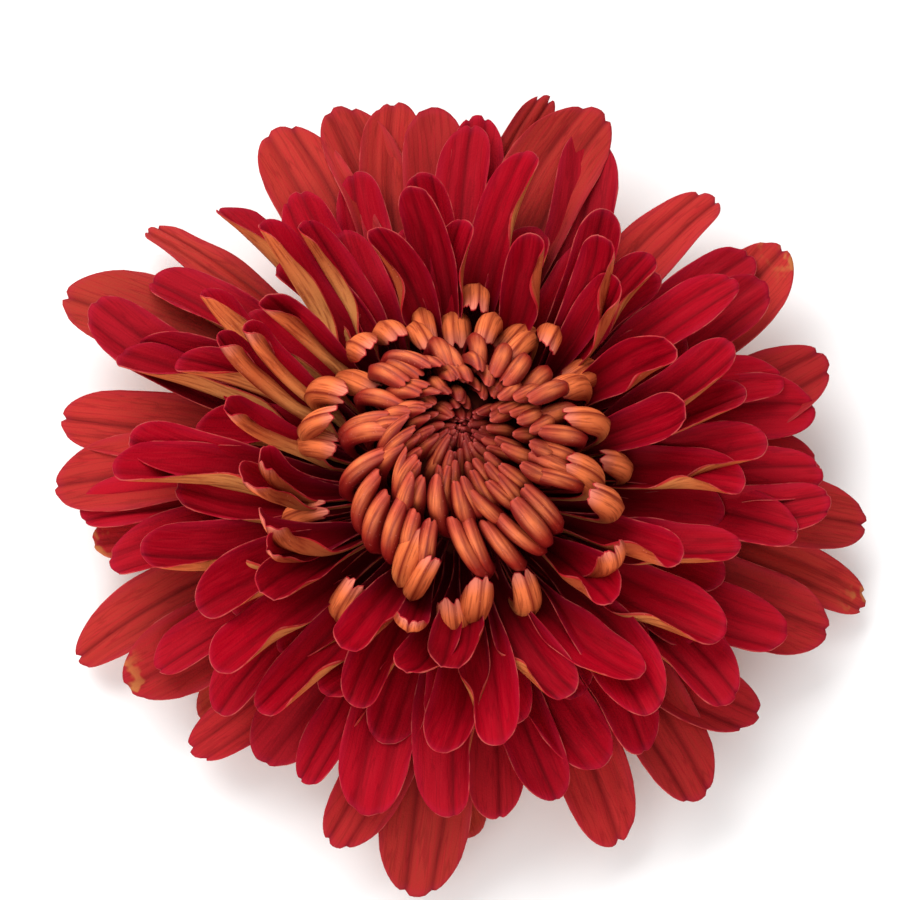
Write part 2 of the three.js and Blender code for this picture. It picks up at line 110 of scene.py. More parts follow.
SPOON = [
    [8, 30, 6.5], [25, 31, 6.5], [47, 30.7, 6.5, -20], [55, 33.3, 6.5], [72, 31, 6], [89, 32, 6, -30],
    [100, 35.7, 6.5, -28], [111, 32.2, 6.5], [145.5, 32.5, 6.5], [151, 33.4, 6.5, 30], [157, 35.5, 7, 32],
    [171, 32, 6.5], [193, 29.8, 6.5, 18], [206, 29, 6.5, 15], [221, 34.3, 6.6, 12], [242, 32.5, 6.6, 8],
    [257, 32.8, 6.5], [266.5, 31.2, 7], [331, 33, 6.5, -15], [312, 29.5, 6.5, -10],
]
HOOK = [
    [0, 23, 4.4], [14, 20, 4.2], [33, 20, 4.4], [38, 25, 4.6], [50, 22.5, 4.4], [63, 19.5, 4.2],
    [71, 23.5, 4.6], [79, 21, 4.4], [84, 28, 4.6], [92, 25, 4.4], [104, 24.3, 4.4], [106, 20.5, 4.2],
    [117.5, 23, 4.8], [132, 22.5, 5], [142, 20.5, 5], [155, 23, 4.8], [166, 22, 4.6], [177, 22, 5],
    [188, 27, 5], [201, 25, 5], [213, 30.5, 4.6], [231, 28.5, 4.4], [244.5, 19.8, 4.8], [255.5, 27.5, 4.8],
    [257, 20.8, 4.4], [265.5, 25.5, 4.8], [278, 22.2, 5], [295.5, 22.7, 5], [322.5, 26.2, 5.2],
    [338, 22.6, 5], [347, 19.3, 4.8],
]
CLAW = [
    [4, 16.5, 3.5], [16, 16.5, 3.3], [27, 16.5, 3.3], [39, 16.5, 3.4], [51, 15.5, 3.4], [63, 15.5, 3.4],
    [76, 16.5, 3.3], [88, 15.5, 3.4], [100, 16, 3.3], [112, 16.5, 3.4], [124, 16, 3.4], [137, 16.5, 3.6],
    [150, 16, 3.6], [163, 16.5, 3.7], [176, 16, 3.7], [190, 17, 3.7], [203, 17.5, 3.6], [216, 18, 3.5],
    [228, 18, 3.4], [239, 17.5, 3.4], [251, 18.2, 3.3], [263, 17.5, 3.4], [273, 17, 3.3], [284, 17.7, 3.4],
    [295, 17.5, 3.3], [307, 17.5, 3.5], [319, 17, 3.4], [331, 17, 3.4], [343, 16, 3.3], [354, 16, 3.3],
]
print("listed florets:", sum(map(len, (RIM, BEHIND, OUTER, MIDDLE, SPOON, HOOK, CLAW))))

# %% [markdown]
# ## Stages of growth
#
# The rim florets opened first and lie nearly flat. Further in, each whorl is younger: steeper, rolled
# tighter, its tips hooked over. So one number, the stage, from 0 at the rim to 1 at the eye, gives a
# floret its slope and its curl at five places from root to tip, its length, and the place of its root.

# %% The table of stages
STAGE = [0.0, 0.15, 0.3, 0.44, 0.52, 0.6, 0.64, 0.74, 0.88, 1.0]
SLOPE = [  # degrees above level, from root to tip
    [6, 2, -6, -13, -20], [10, 7, 6, 4, 2], [14, 17, 21, 24, 23], [22, 27, 34, 46, 66],
    [30, 42, 58, 90, 130], [36, 56, 80, 130, 166], [42, 56, 76, 114, 150], [52, 66, 84, 114, 148],
    [66, 77, 88, 112, 146], [76, 84, 90, 100, 130],
]
CURL = [  # degrees that each half turns up from its midrib to its margin
    [60, 62, 45, 28, 20], [70, 84, 58, 36, 26], [75, 100, 74, 46, 36], [80, 112, 88, 60, 54],
    [80, 112, 96, 104, 100], [85, 112, 124, 118, 100], [85, 104, 104, 96, 92], [85, 98, 98, 92, 90],
    [85, 94, 94, 92, 88], [85, 90, 90, 88, 84],
]
LENGTH = [47, 42, 35, 36, 28.8, 25.4, 22.3, 21.3, 19.9, 17.4]  # mm
ROOT_RADIUS = [9.0, 9.0, 8.8, 8.2, 7.6, 7.0, 6.6, 5.4, 3.4, 1.2]  # mm
ROOT_HEIGHT = [10.4, 11.8, 13.2, 14.6, 16.0, 17.4, 17.8, 18.4, 19.2, 19.6]  # mm
TURN = [10, 12, 14, 16, 20, 10, 8, 6, 5, 5]  # degrees either way, by chance
RIM_STAGE = 0.12  # up to here is the rim
HOOKED = 0.47  # from this stage on, a floret keeps its length and leans into place
HOOK_STAGE = 0.52  # where the tips hook over
HOOK_SPREAD = 0.05  # and how far from there that fades


def at_stage(values, stage):
    """A table's values at each floret's stage."""
    table = np.array(values, float).reshape(len(STAGE), -1)
    columns = [np.interp(stage, STAGE, column) for column in table.T]
    return columns[0] if len(columns) == 1 else np.stack(columns, -1)


print("slope of a claw at its tip:", at_stage(SLOPE, 0.6)[-1], "degrees")

# %% [markdown]
# ## Chance and easy curves
#
# No two florets are alike, yet the script must grow the same bloom each time. So chance is a formula: for
# each floret and each use it gives a number that looks random and stays the same. The step, the bell and
# the curve through knots shape all that follows.

# %% Draws and curves
DRAWS = {
    "length": 1, "bend": 2, "bract": 3, "root": 5, "turn": 6, "lobes": 7, "ripple": 8, "curl": 9, "bow": 13,
    "grooves": 14, "frill": 15, "notch": 16, "fold": 17, "fine ripple": 18, "tip": 19, "tone": 20,
}
FLORET_STEP = 127.1
DRAW_STEP = 311.7
STEEPNESS = 43758.5453


def draw(i, use):
    """A draw from -1 to 1 for floret i and one use: the fraction left of a very steep sine."""
    wave = np.sin(FLORET_STEP * (np.asarray(i) + 1) + DRAW_STEP * DRAWS[use]) * STEEPNESS
    return 2 * (wave - np.floor(wave)) - 1


def smooth(x):
    """An easy step from 0 to 1: 3 x^2 - 2 x^3."""
    x = np.clip(x, 0, 1)
    return x * x * (3 - 2 * x)


def bell(x, width):
    """A bell of height 1 round x = 0: e^(-(x / width)^2)."""
    return np.exp(-((x / width) ** 2))


def through(knots, s):
    """The value at s of a curve through evenly spaced knots, one row of them for each floret.

    It is a cubic between two knots, with half the step between a knot's neighbours as its slope there.
    """
    last = knots.shape[1] - 1
    x = np.clip(s, 0, 1) * last
    i = np.minimum(x.astype(int), last - 1)
    f = x - i
    flat = lambda j: np.clip(j, 0, last).reshape(len(knots), -1)
    a, b, c, d = [np.take_along_axis(knots, flat(i + k), 1).reshape(s.shape) for k in (-1, 0, 1, 2)]
    cubic = (3 * b - a - 3 * c + d) * f**3 + (2 * a - 5 * b + 4 * c - d) * f**2
    return 0.5 * (2 * b + (c - a) * f + cubic)


print("first draws:", draw([0, 1, 2], "length").round(2))

# %% [markdown]
# ## From a stage to a middle line
#
# A floret's middle line follows its slopes in small steps, like a path drawn from a list of headings. A
# spreading floret is made as long as its reach asks. A hooked one keeps its length, so its lower part
# leans until it comes to its place. A resting one leans down until its tip meets the table.

# %% Middle lines
STEPS = 80
LEAN_RANGE = (-60.0, 40.0)  # degrees
HALVINGS = 24


def middle_line(slopes):
    """How far out and up a floret of unit length has come: sums of its slopes' cosines and sines."""
    s = np.broadcast_to((np.arange(STEPS) + 0.5) / STEPS, (len(slopes), STEPS))
    angle = np.radians(through(slopes, s))
    start = np.zeros((len(slopes), 1))
    steps = (np.cos(angle), np.sin(angle))
    return [np.concatenate([start, np.cumsum(step, 1)], 1) / STEPS for step in steps]


def lean_for(excess, florets):
    """The lean at which excess(lean), which falls as a floret leans up, is nothing: by halving."""
    low, high = [np.full(florets, end) for end in LEAN_RANGE]
    for _ in range(HALVINGS):
        middle = (low + high) / 2
        over = excess(middle) > 0
        low, high = np.where(over, middle, low), np.where(over, high, middle)
    return (low + high) / 2


print("each middle line has", STEPS, "steps")

# %% How a floret bends, from root to tip
BEND_SPREAD = 5  # degrees
BEND = np.array([0.2, 0.6, 1, 1.1, 1.2])  # how a floret's own bend spreads along it
RESTING_BEND = np.array([0.2, 0.6, 1, 1.1, 0])
HOOK_BEND = np.array([0, 0, 1, 3, 7])  # and how much more where tips hook over
TIP_SPREAD = 12  # degrees, spreading florets only
TIP_BEND = np.array([0, 0, 0, 0.3, 1])
LEAN = np.array([1, 1, 0.7, 0.25, 0])
RESTING_LEAN = np.array([1, 1, 1, 0.6, 0])
RESTING_SLOPE = np.array([2.0, -8, -18, -20, -5])
BACK_RISE = np.array([0, 5, 7, 7, 5])  # degrees, for the rim at the back
BACK_HOOK = np.array([0, 0, 8, 26, 36])  # and for the hooked florets there
BACK_HOOK_STAGE = 0.54


def own_slopes(whorl, i, resting):
    """Each floret's slopes: those of its stage, its own bend, and what the back of the bloom adds."""
    stage = whorl["stage"]
    own_bend = BEND_SPREAD * draw(i, "bend")[:, None]
    if resting:
        return RESTING_SLOPE + own_bend * RESTING_BEND
    bend = BEND + HOOK_BEND * bell(stage - HOOK_STAGE, HOOK_SPREAD)[:, None]
    slopes = at_stage(SLOPE, stage) + own_bend * bend
    slopes = slopes + (TIP_SPREAD * draw(i, "tip") * (stage < HOOKED))[:, None] * TIP_BEND
    back = np.clip(np.sin(np.radians(whorl["azimuth"])), 0, 1)
    slopes = slopes + (back * (stage < RIM_STAGE))[:, None] * BACK_RISE
    return slopes + (back * bell(stage - BACK_HOOK_STAGE, HOOK_SPREAD))[:, None] * BACK_HOOK


def listed(table, at, step, centre):
    """A whorl from its list: stage at for a reach of centre, less by step for each mm beyond."""
    azimuth, reach, width, turn = np.array([(row + [np.nan])[:4] for row in table], float).T
    return dict(azimuth=azimuth, reach=reach, width=width, turn=turn, stage=at + step * (centre - reach))


RIM_AGE = (0.02, 0.005, 58)  # at, step, centre
OUTER_AGE = (0.15, 0.008, 50)
MIDDLE_AGE = (0.3, 0.008, 42)
SPOON_AGE = (0.44, 0.005, 32)
HOOK_AGE = (0.54, 0.008, 25)
CLAW_AGE = (0.6, 0, 0)
print("stages of the rim:", listed(RIM, *RIM_AGE)["stage"].round(3).min(), "and later")

# %% Growing a whorl
REST_HEIGHT = 0.35  # mm, of a resting tip's middle line
LENGTH_SPREAD = 0.05  # share that a floret may be longer or shorter
FAR_REACH = 22  # mm, past which a hooked floret is longer
FAR_LENGTH = 0.013  # share for each mm
FAR_MOST = 9  # mm
CURL_SPREAD = 0.15  # share that it may be curled more or less
HOOK_CURL_SPREAD = 0.3  # and how much more where tips hook over
CURL_PLACES = np.array([0, 0.3, 1, 1, 1])
ROOT_SWEEP = (0, 5)


def grow(whorl, first, sweep=ROOT_SWEEP, resting=False):
    """Slopes, length, curl and place of each floret of a whorl, numbered from first for its draws.

    sweep is how far round its roots stand from its tips, and how much more or less by chance, in degrees.

    The listed width is straight from margin to margin, so the blade is wider: by the angle that its half has
    turned up, divided by its sine.
    """
    i = first + np.arange(len(whorl["azimuth"]))
    stage, reach = whorl["stage"], whorl["reach"]
    slopes = own_slopes(whorl, i, resting)
    leaning = RESTING_LEAN if resting else LEAN
    radius, height = at_stage(ROOT_RADIUS, stage), at_stage(ROOT_HEIGHT, stage)
    lines = lambda lean: middle_line(slopes + lean[:, None] * leaning)
    farthest = lambda lean: lines(lean)[0].max(1)
    if resting:
        drop = lambda lean: -lines(lean)[1][:, -1] * (reach - radius) / farthest(lean)
        lean = lean_for(lambda lean: drop(lean) - height + REST_HEIGHT, len(i))
        length = (reach - radius) / farthest(lean)
    else:
        farther = np.clip(reach - FAR_REACH, 0, FAR_MOST)
        length = at_stage(LENGTH, stage) * (1 + LENGTH_SPREAD * draw(i, "length") + FAR_LENGTH * farther)
        level = np.zeros(len(i))
        hooked = (stage > HOOKED) & (reach > 0)
        lean = np.where(hooked, lean_for(lambda a: radius + length * farthest(a) - reach, len(i)), level)
        spreading = (stage <= HOOKED) & (reach > 0)
        length = np.where(spreading, (reach - radius) / farthest(level), length)
    out, up = lines(lean)
    uneven = CURL_SPREAD + HOOK_CURL_SPREAD * bell(stage - HOOK_STAGE, HOOK_SPREAD)
    curl = at_stage(CURL, stage) * (1 + (uneven * draw(i, "curl"))[:, None] * CURL_PLACES)
    turn = np.where(np.isnan(whorl["turn"]), at_stage(TURN, stage) * draw(i, "turn"), whorl["turn"])
    widest = np.radians(np.minimum(curl[:, 3], 90))
    half = whorl["width"] / 2 * widest / np.sin(widest)
    return dict(i=i, stage=stage, azimuth=np.radians(whorl["azimuth"]), half=half, length=length,
                slope=np.radians(slopes + lean[:, None] * leaning), out=out, up=up, curl=np.radians(curl),
                radius=radius, height=height, turn=np.radians(turn),
                sweep=np.radians(sweep[0] + sweep[1] * draw(i, "root")))


trial = grow(listed(RIM, *RIM_AGE), 0)
print(f"rim florets are {trial['length'].min():.0f} to {trial['length'].max():.0f} mm long")

# %% [markdown]
# ## From a middle line to a blade
#
# A blade is a function of u across it, from -1 to 1, and v along it, from root to tip, so each can be
# bent as no other is. First comes its outline: two shallow grooves, the marks of the petals that fused
# into it, run its whole length and end in the notches of its tip.

# %% The outline of a blade
SINK = 3  # mm that a root is sunk
ROW_CROWDING = 1.2  # above 1, rows crowd towards the tip
TIP_LENGTH = [1.4, 1.35, 1.3, 1.1, 0.8, 1.4, 2.4, 2.6, 2.6, 2.2]  # in half widths
NOTCH = [0.65, 0.4, 0.15, 0.3, 1.2, 0.5, 0.25, 0.1, 0.05, 0.05]  # mm deep
NOTCH_SPREAD = 0.4  # share
FRILL = 0.24  # mm that a hooked tip is torn in and out
FRILL_SPREAD = 0.07
TWO_LOBES = (0.05, 0.5, 0.35)  # u of two grooves, and how strong the second is
THREE_LOBES = (-0.32, 0.32, 0.9)
GROOVE_WIDTH = 0.08
GROOVE_SHIFT = 0.08  # that a blade's grooves may lie to one side


def each(values):
    """One number for each floret, for its whole grid."""
    return np.asarray(values, float)[:, None, None]


def sized(table, grown):
    """A table's value at each grown floret's stage, for its whole grid."""
    return each(at_stage(table, grown["stage"]))


def blade_grid(grown, rows, cols):
    """u from margin to margin, and v from the sunk root, a little below 0, to 1 at the tip.

    Half of u is a sine, which crowds it near the margins. v is 1 - (1 - x)^crowding of even steps x.
    """
    even = np.linspace(-1, 1, cols)
    u = 0.5 * even + 0.5 * np.sin(even * math.pi / 2)
    x = 1 - (1 - np.linspace(0, 1, rows)) ** ROW_CROWDING
    root = each(SINK / grown["length"])
    return u, -root + (1 + root) * x[:, None]


def groove_marks(grown, u):
    """A bell at each of a blade's two grooves. Hooked florets have two lobes, others two or three."""
    three = each((draw(grown["i"], "lobes") > 0) & (grown["stage"] < HOOKED))
    aside = each(GROOVE_SHIFT * draw(grown["i"], "grooves"))
    first, second, strength = [np.where(three, a, b) for a, b in zip(THREE_LOBES, TWO_LOBES)]
    return bell(u - (first + aside), GROOVE_WIDTH) + strength * bell(u - (second + aside), GROOVE_WIDTH)


def shortened(grown, u, marks):
    """How much shorter than the blade its line at u is, as a share of the blade's length.

    The end is rounded by 1 - sqrt(1 - u^2) tip lengths, then notched, and frilled by two sines of u.
    """
    waves = np.sin(11 * u + 9 * each(draw(grown["i"], "frill"))) + 0.5 * np.sin(29 * u)
    frill = bell(each(grown["stage"]) - HOOK_STAGE, FRILL_SPREAD) * waves * FRILL
    rounding = sized(TIP_LENGTH, grown) * each(grown["half"]) * (1 - np.sqrt(np.clip(1 - u**2, 0, 1)))
    notches = sized(NOTCH, grown) * each(1 + NOTCH_SPREAD * draw(grown["i"], "notch")) * marks
    return (rounding + notches + frill) / each(grown["length"])


print("u:", blade_grid(trial, 9, 9)[0].round(2))

# %% [markdown]
# ## The section across a blade
#
# The section is steered like the middle line: from the midrib outwards the surface turns up by an angle
# that grows with u. A little gives a trough, a lot gives a tube, and the width stays the same. On some
# florets the front margin has also folded in beside the tip, so its pale back shows.

# %% The section
FOOT = 0.34  # width of the foot, as a share of the blade's width
WIDEST = [0.62, 0.62, 0.65, 0.72, 0.84, 0.92, 0.92, 0.92, 0.92, 0.92]  # share of the way to the tip
TAPER = [0.12, 0.12, 0.12, 0.12, 0.2, 0.3, 0.35, 0.4, 0.4, 0.4]  # share of the width lost at the tip
END = (0.75, 0.25)  # where along a blade its end starts, and its length
EVEN = [0.55, 0.6, 0.7, 0.8, 0.9, 1, 1, 1, 1, 1]  # share of the curl spread evenly across
LEAST_CURL = 0.02
GROOVE = [0.42, 0.42, 0.38, 0.3, 0.24, 0.26, 0.24, 0.18, 0.12, 0.08]  # mm deep
GROOVE_START = 0.3
WAVE = [0.7, 0.6, 0.45, 0.3, 0.2, 0.05, 0.05, 0.03, 0.02, 0.02]  # mm, of the margins
WAVE_START = 0.4
LIP = [0, 40, 80, 105, 30, 0, 0, 0, 0, 0]  # degrees that the front margin folds in
LIP_SHARE = 0.8  # usual, and as much more by chance and on the rolled side
LIP_MOST = 1.7
LIP_ACROSS = (0.25, 0.7)  # where the fold starts, and over what it deepens
LIP_ALONG = (0.6, 0.25)
LIP_ROLLED = 0.35  # how much earlier both start on the rolled side
LIP_EASED = 0.35  # share that the very end loses
ROLLED_SIDE = math.radians(152)  # where most florets have rolled in
ROLLED_SPREAD = 0.3


def stepped(x, start_and_run):
    """The easy step of x from a start over a run."""
    start, run = start_and_run
    return smooth((x - start) / run)


def lip_fold(grown, to_front, s):
    """The angle that the front margin folds in by: a share of the lip, stepped across and along."""
    rolled = bell(np.sin((grown["azimuth"] - ROLLED_SIDE) / 2), ROLLED_SPREAD)
    share = np.clip(LIP_SHARE + LIP_SHARE * draw(grown["i"], "fold") + LIP_SHARE * rolled, 0, LIP_MOST)
    across, along = [(each(start - LIP_ROLLED * rolled), run) for start, run in (LIP_ACROSS, LIP_ALONG)]
    fold = np.radians(sized(LIP, grown) * each(share))
    return fold * stepped(to_front, across) * stepped(s, along) * (1 - LIP_EASED * stepped(s, END))


def sums_across(slopes, u):
    """Running sums of some slopes across the blade, counted from its midrib."""
    sums = np.cumsum((slopes[..., 1:] + slopes[..., :-1]) / 2 * np.diff(u), 2)
    sums = np.concatenate([np.zeros(sums.shape[:2] + (1,)), sums], 2)
    return sums - sums[..., len(u) // 2, None]


def section(grown, u, s, marks):
    """Half the blade's width, the angle phi that its surface has turned up by, and its points, side and face.

    phi = curl * (even * u + (1 - even) * u^3), plus the front fold. Side and face are the sums of the cosine
    and sine of phi. Then the grooves are cut into the face, and its margins ripple by two sines of s.
    """
    w = each(grown["half"]) * (FOOT + (1 - FOOT) * smooth(s / sized(WIDEST, grown)))
    w = w * (1 - sized(TAPER, grown) * stepped(s, END))
    curl = np.maximum(through(grown["curl"], s), LEAST_CURL)
    even = sized(EVEN, grown)
    front = each(np.where(np.cos(grown["azimuth"]) > 0, -1, 1))
    phi = curl * (even * u + (1 - even) * u**3) + front * lip_fold(grown, front * u, s)
    side = w * sums_across(np.cos(phi), u)
    face = w * sums_across(np.sin(phi), u)
    face = face - sized(GROOVE, grown) * marks * smooth(s / GROOVE_START)
    ripple = np.sin(9 * s + 6 * each(draw(grown["i"], "ripple")) + 1.5 * u)
    ripple = ripple + 0.4 * np.sin(23 * s + 6 * each(draw(grown["i"], "fine ripple")) - 2 * u)
    return w, phi, side, face + sized(WAVE, grown) * u**2 * ripple * smooth(s / WAVE_START)


print("largest fold:", max(LIP) * LIP_MOST, "degrees")

# %% [markdown]
# ## Setting the sections on the middle line
#
# Each section stands square on its middle line, turned about it, and the whole blade swings round to its
# azimuth. A second surface beside the first makes it thick along the midrib and thin at the margins and
# the tip. The undersides of the resting florets are pressed flat, just clear of the table.

# %% Blades
THICKNESS = 0.42  # mm, at its thickest
THINNED = (0.7, 0.35, 0.5)  # share lost at the margins, at the tip, and over its very end
VERY_END = (0.9, 0.1)
CLEAR_OF_TABLE = 0.02
TURNED_BY = 0.8  # where a blade has turned fully
BOW = 0.06  # share of its length that it may bow to one side
MARGIN_WIDTH = 3  # mm, of the band that the paint sees
SPENT = [2, 13, 15, 25]  # rim florets with withered tips


def follow(line, s):
    """How far a middle line has come at s."""
    place = np.clip(s, 0, 1) * STEPS
    step = np.minimum(place.astype(int), STEPS - 1)
    part = place - step
    at = lambda k: np.take_along_axis(line, k.reshape(len(line), -1), 1).reshape(s.shape)
    return at(step) * (1 - part) + at(step + 1) * part


def set_out(grown, s):
    """Each middle line at s, with its turn and bow; the sunk root goes on straight."""
    length = each(grown["length"])
    slope = through(grown["slope"], s)
    sunk = np.minimum(s, 0)
    out = each(grown["radius"]) + length * (follow(grown["out"], s) + sunk * np.cos(slope))
    up = each(grown["height"]) + length * (follow(grown["up"], s) + sunk * np.sin(slope))
    azimuth = each(grown["azimuth"]) - each(grown["sweep"]) * (1 - np.clip(s, 0, 1) ** 2)
    turn = each(grown["turn"]) * smooth(s / TURNED_BY)
    bow = each(BOW * draw(grown["i"], "bow")) * length * 4 * s * (1 - s)
    return out, up, slope, azimuth, turn, bow


def set_square(line, side, face):
    """The sections, turned about the line, raised square to it, and swung to its azimuth."""
    out, up, slope, azimuth, turn, bow = line
    sideways = side * np.cos(turn) - face * np.sin(turn) + bow
    raised = side * np.sin(turn) + face * np.cos(turn)
    radial = out - raised * np.sin(slope)
    x = radial * np.cos(azimuth) - sideways * np.sin(azimuth)
    y = radial * np.sin(azimuth) + sideways * np.cos(azimuth)
    return np.stack([x, y, up + raised * np.cos(slope)], -1)


def blade_surface(grown, rows, cols):
    """Upper and lower points of a whorl's blades, what the paint needs to know there, and a flat map in cm.

    s, the share of the length, is v less the shortened part times v^3, so only the end moves.
    """
    u, v = blade_grid(grown, rows, cols)
    marks = groove_marks(grown, u)
    short = shortened(grown, u, marks)
    s = v - short * v**3
    w, phi, side, face = section(grown, u, s, marks)
    line = set_out(grown, s)
    margins, tip, very_end = THINNED
    lift = THICKNESS / 2 * (1 - margins * u**4) * (1 - tip * smooth(s))
    lift = lift * (1 - very_end * stepped(s, VERY_END))
    upper = set_square(line, side - lift * np.sin(phi), face + lift * np.cos(phi))
    lower = set_square(line, side + lift * np.sin(phi), face - lift * np.cos(phi))
    upper[..., 2] = np.maximum(upper[..., 2], THICKNESS / 2)
    lower[..., 2] = np.maximum(lower[..., 2], CLEAR_OF_TABLE)
    i, length = each(grown["i"]), each(grown["length"])
    to_margin = np.minimum(w * (1 - np.abs(u)), length * (1 - short - s))
    paint = dict(stage=each(grown["stage"]), along=np.clip(s, 0, 1), inner=1 - np.abs(u),
                 margin=np.clip(to_margin / MARGIN_WIDTH, 0, 1),
                 groove=np.clip(marks, 0, 1) * smooth(s / GROOVE_START),
                 tone=each(draw(grown["i"], "tone")), spent=np.isin(i, SPENT))
    paint = {key: np.broadcast_to(value, s.shape) for key, value in paint.items()}
    return upper, lower, paint, np.stack([w * u / 10 + 3 * i, s * length / 10], -1)


print("points on each side:", blade_surface(trial, 9, 9)[0].shape[1:3])

# %% [markdown]
# ## Putting the blades into a mesh
#
# A blade's upper and lower sheets are closed all round by a narrow strip, so it is a solid leaf and not a
# card. The paint's numbers ride along on the vertices. One UV map measures each blade in centimetres, so
# streaks come out at true size. The second, for the bake, gives each sheet a cell of its own.

# %% The faces of a blade
BAKE_MAP = "OFBake"
CELL_MARGIN = 0.08  # of a cell, left free on each side
CELL_SHAPE = 4  # times as tall as wide


def blade_faces(rows, cols):
    """Faces of one blade: upper sheet, lower sheet turned over, and the strip between their outlines."""
    grid = np.arange(rows * cols).reshape(rows, cols)
    upper = np.stack([grid[:-1, :-1], grid[:-1, 1:], grid[1:, 1:], grid[1:, :-1]], -1).reshape(-1, 4)
    lower = upper[:, ::-1] + rows * cols
    outline = np.concatenate([grid[:, 0], grid[-1, 1:], grid[::-1, -1][1:], grid[0, ::-1][1:-1]])
    following = np.roll(outline, -1)
    strip = np.stack([outline, following, following + rows * cols, outline + rows * cols], -1)
    return np.concatenate([upper, lower, strip]), len(upper)


def bake_cells(blades, rows, cols, faces, sheet_faces):
    """Corners on the bake map: two cells a blade, with the strip round the lower sheet."""
    high = max(1, round(math.sqrt(2 * blades / CELL_SHAPE)))
    wide = math.ceil(2 * blades / high)
    u, v = np.meshgrid(np.linspace(0, 1, cols), np.linspace(0, 1, rows))
    sheet = np.stack([u.ravel(), v.ravel()], -1)
    inner = CELL_MARGIN + (1 - 2 * CELL_MARGIN) * sheet
    outer = CELL_MARGIN / 2 + (1 - CELL_MARGIN) * sheet
    corner = faces % (rows * cols)
    places = inner[corner]
    strip, strip_corner = faces[2 * sheet_faces:], corner[2 * sheet_faces:]
    on_upper = (strip < rows * cols)[..., None]
    places[2 * sheet_faces:] = np.where(on_upper, outer[strip_corner], inner[strip_corner])
    lower = np.arange(len(faces)) >= sheet_faces
    cell = 2 * np.arange(blades)[:, None] + lower
    origin = np.stack([cell % wide, cell // wide], -1)
    return ((origin[:, :, None] + places) / [wide, high]).reshape(-1, 2)


print("faces of a fine blade:", len(blade_faces(37, 21)[0]))

# %% Pieces
def new_mesh(name, points, faces, material, slot, *nodes):
    """A piece from its points in millimetres and its faces, riding on the bloom's one body."""
    mesh = bpy.data.meshes.new(name)
    mesh.from_pydata(points * MM, [], faces)
    mesh.polygons.foreach_set("use_smooth", np.ones(len(faces), bool))
    mesh.materials.append(material)
    piece = bpy.data.objects.new(name, mesh)
    bpy.context.collection.objects.link(piece)
    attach(piece, "root")
    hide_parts(*nodes)
    return piece


def blades_piece(name, made, material, slot, node):
    """One mesh of all the blades in some surfaces, with their paint and both maps."""
    upper, lower = [np.concatenate([surface[k] for surface in made]) for k in (0, 1)]
    blades, rows, cols = upper.shape[:3]
    points = np.concatenate([upper.reshape(blades, -1, 3), lower.reshape(blades, -1, 3)], 1).reshape(-1, 3)
    one, sheet_faces = blade_faces(rows, cols)
    faces = (one + (2 * rows * cols * np.arange(blades))[:, None, None]).reshape(-1, 4)
    mesh = new_mesh(name, points, faces.tolist(), material, slot, node).data
    paint = {key: np.concatenate([surface[2][key] for surface in made]) for key in made[0][2]}
    paint = {key: np.tile(values.reshape(blades, -1), 2) for key, values in paint.items()}
    paint["side"] = np.tile(np.repeat([0.0, 1.0], rows * cols), blades)
    for key, values in paint.items():
        mesh.attributes.new(key, "FLOAT", "POINT").data.foreach_set("value", values.astype(float).ravel())
    flat = np.concatenate([surface[3] for surface in made]).reshape(blades, -1, 2)
    flat = np.concatenate([flat, flat], 1).reshape(-1, 2)
    mesh.uv_layers.new(name="Blade").data.foreach_set("uv", flat[faces.ravel()].ravel())
    cells = bake_cells(blades, rows, cols, one, sheet_faces)
    mesh.uv_layers.new(name=BAKE_MAP).data.foreach_set("uv", cells.ravel())
    print(f"{name}: {blades} blades, {2 * len(faces)} triangles, up to {points[:, 2].max():.1f} mm high")


print("maps of each piece: Blade and", BAKE_MAP)

# %% [markdown]
# ## The colour of a floret
#
# The upper face is velvety crimson, vermilion on the oldest florets, with fine streaks and a pale thin
# edge. Towards its root it deepens, partly its own deeper red and partly painted shade where the florets
# crowd; its grooves carry painted shade, and its rising margins a painted magenta sheen. The back is tan to
# orange with red margins, and on the claws it darkens towards the eye. Painted shade lies in its grooves, on
# its sides away from the midrib, at the claws' hidden roots and in the gaps between the eye florets, and a
# painted amber highlight on the crests of hooks and claws. Pale specks of glands on the back also stand as
# painted glints. Paint worked out from the numbers on the vertices follows each blade wherever it bends. A
# rough finish with a little sheen and a fine bump stands for the velvet.

# %% Node helpers
def linear(red, green, blue):
    """A colour on a screen's 0 to 255 scale, as the linear values that light adds up in."""
    c = np.array([red, green, blue]) / 255
    return [*np.where(c <= 0.04045, c / 12.92, ((c + 0.055) / 1.055) ** 2.4).tolist(), 1.0]


def add(tree, kind, inputs=None, **settings):
    """Adds a node, its inputs fed by numbers, colours or other nodes' sockets."""
    made = tree.nodes.new("ShaderNode" + kind)
    for key, value in settings.items():
        setattr(made, key, value)
    for key, value in (inputs or {}).items():
        if isinstance(value, bpy.types.NodeSocket):
            tree.links.new(value, made.inputs[key])
        else:
            made.inputs[key].default_value = value
    return made


def number(tree, name):
    """One of the numbers that the vertices carry."""
    return add(tree, "Attribute", attribute_name=name).outputs["Fac"]


def between(value, low, high, start=0.0, end=1.0):
    """value, eased from the range low to high to the range start to end."""
    inputs = {"Value": value, "From Min": low, "From Max": high, "To Min": start, "To Max": end}
    return add(value.id_data, "MapRange", inputs, interpolation_type="SMOOTHSTEP").outputs[0]


def times(a, b):
    """a times b."""
    return add(a.id_data, "Math", {0: a, 1: b}, operation="MULTIPLY").outputs[0]


def layered(colour, *layers):
    """A colour with others laid over it in turn, each a share and a colour."""
    for share, over in layers:
        colour = add(share.id_data, "Mix", {0: share, 6: colour, 7: over}, data_type="RGBA").outputs[2]
    return colour


def ramp(value, stops):
    """A colour that runs through stops, each a place and a colour."""
    made = add(value.id_data, "ValToRGB", {"Fac": value})
    points = made.color_ramp.elements
    while len(points) < len(stops):
        points.new(1.0)
    for point, (place, colour) in zip(points, stops):
        point.position = place
        point.color = colour
    return made.outputs["Color"]


